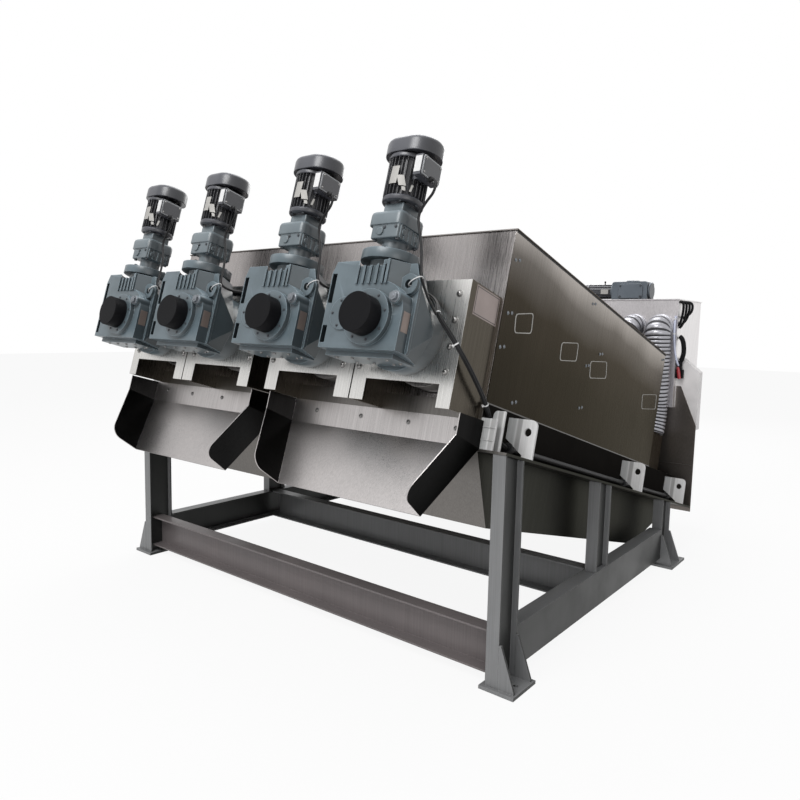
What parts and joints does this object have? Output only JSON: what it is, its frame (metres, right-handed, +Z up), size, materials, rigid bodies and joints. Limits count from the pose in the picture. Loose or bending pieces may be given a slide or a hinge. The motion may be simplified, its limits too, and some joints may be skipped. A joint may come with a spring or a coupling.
{
  "type": "multi-disc screw press",
  "caption": "Sludge dewatering press: inclined screw drums under a stainless cover on a steel stand, gearmotors over cake chutes, feed tank behind",
  "frame": {"origin": "centre of the four corner anchor holes, on the floor", "axes": "+Z up, +Y from the cake outlets back to the feed tank, +X to the right seen from the outlets"},
  "size_m": [2.98, 3.9504, 2.4054],
  "materials": {
    "cable_conduit": "black sheath",
    "cover_front": "brushed stainless sheet",
    "cover_left": "brushed stainless sheet",
    "cover_rear": "brushed stainless sheet",
    "cover_right": "brushed stainless sheet",
    "cover_top": "brushed stainless sheet",
    "discharge_chute_left": "brushed stainless sheet",
    "discharge_chute_right": "brushed stainless sheet",
    "drive_bracket_1": "brushed stainless sheet",
    "drive_bracket_2": "brushed stainless sheet",
    "drive_bracket_3": "brushed stainless sheet",
    "drive_bracket_4": "brushed stainless sheet",
    "drive_motor_1": "near black paint",
    "drive_motor_2": "near black paint",
    "drive_motor_3": "near black paint",
    "drive_motor_4": "near black paint",
    "feed_hoses": "ribbed grey hose",
    "feet": "dark grey paint",
    "filtrate_outlet": "brushed stainless sheet",
    "filtrate_trough": "brushed stainless sheet",
    "front_beam": "dark grey paint",
    "gear_unit_1": "dark blue-grey paint",
    "gear_unit_2": "dark blue-grey paint",
    "gear_unit_3": "dark blue-grey paint",
    "gear_unit_4": "dark blue-grey paint",
    "helical_units": "dark blue-grey paint",
    "inlet_chambers": "brushed stainless sheet",
    "leg_front_left": "dark grey paint",
    "leg_front_right": "dark grey paint",
    "leg_middle_left": "dark grey paint",
    "leg_middle_right": "dark grey paint",
    "leg_rear_left": "dark grey paint",
    "leg_rear_right": "dark grey paint",
    "lifting_lugs_left": "brushed stainless sheet",
    "lifting_lugs_right": "brushed stainless sheet",
    "middle_beam": "dark grey paint",
    "mixer_gear_units": "dark blue-grey paint",
    "mixer_motors": "near black paint",
    "motor_cables": "black sheath",
    "rail_left": "brushed stainless sheet",
    "rail_right": "brushed stainless sheet",
    "rear_bulkhead": "brushed stainless sheet",
    "screw_drums": "brushed stainless sheet",
    "shaft_caps": "black moulded cap",
    "side_beam_left": "dark grey paint",
    "side_beam_right": "dark grey paint",
    "side_boxes": "light grey",
    "sludge_inlet": "brushed stainless sheet",
    "tank_lid": "pale stainless sheet",
    "tank_shell": "pale stainless sheet"
  },
  "bodies": {
    "root": {"cable_conduit": "cable_conduit", "cover_front": "cover_front", "cover_left": "cover_left", "cover_rear": "cover_rear", "cover_right": "cover_right", "cover_top": "cover_top", "discharge_chute_left": "discharge_chute_left", "discharge_chute_right": "discharge_chute_right", "drive_bracket_1": "drive_bracket_1", "drive_bracket_2": "drive_bracket_2", "drive_bracket_3": "drive_bracket_3", "drive_bracket_4": "drive_bracket_4", "drive_motor_1": "drive_motor_1", "drive_motor_2": "drive_motor_2", "drive_motor_3": "drive_motor_3", "drive_motor_4": "drive_motor_4", "feed_hoses": "feed_hoses", "feet": "feet", "filtrate_outlet": "filtrate_outlet", "filtrate_trough": "filtrate_trough", "front_beam": "front_beam", "gear_unit_1": "gear_unit_1", "gear_unit_2": "gear_unit_2", "gear_unit_3": "gear_unit_3", "gear_unit_4": "gear_unit_4", "helical_units": "helical_units", "inlet_chambers": "inlet_chambers", "leg_front_left": "leg_front_left", "leg_front_right": "leg_front_right", "leg_middle_left": "leg_middle_left", "leg_middle_right": "leg_middle_right", "leg_rear_left": "leg_rear_left", "leg_rear_right": "leg_rear_right", "lifting_lugs_left": "lifting_lugs_left", "lifting_lugs_right": "lifting_lugs_right", "middle_beam": "middle_beam", "mixer_gear_units": "mixer_gear_units", "mixer_motors": "mixer_motors", "motor_cables": "motor_cables", "rail_left": "rail_left", "rail_right": "rail_right", "rear_bulkhead": "rear_bulkhead", "screw_drums": "screw_drums", "shaft_caps": "shaft_caps", "side_beam_left": "side_beam_left", "side_beam_right": "side_beam_right", "side_boxes": "side_boxes", "sludge_inlet": "sludge_inlet", "tank_lid": "tank_lid", "tank_shell": "tank_shell"}
  },
  "joints": []
}
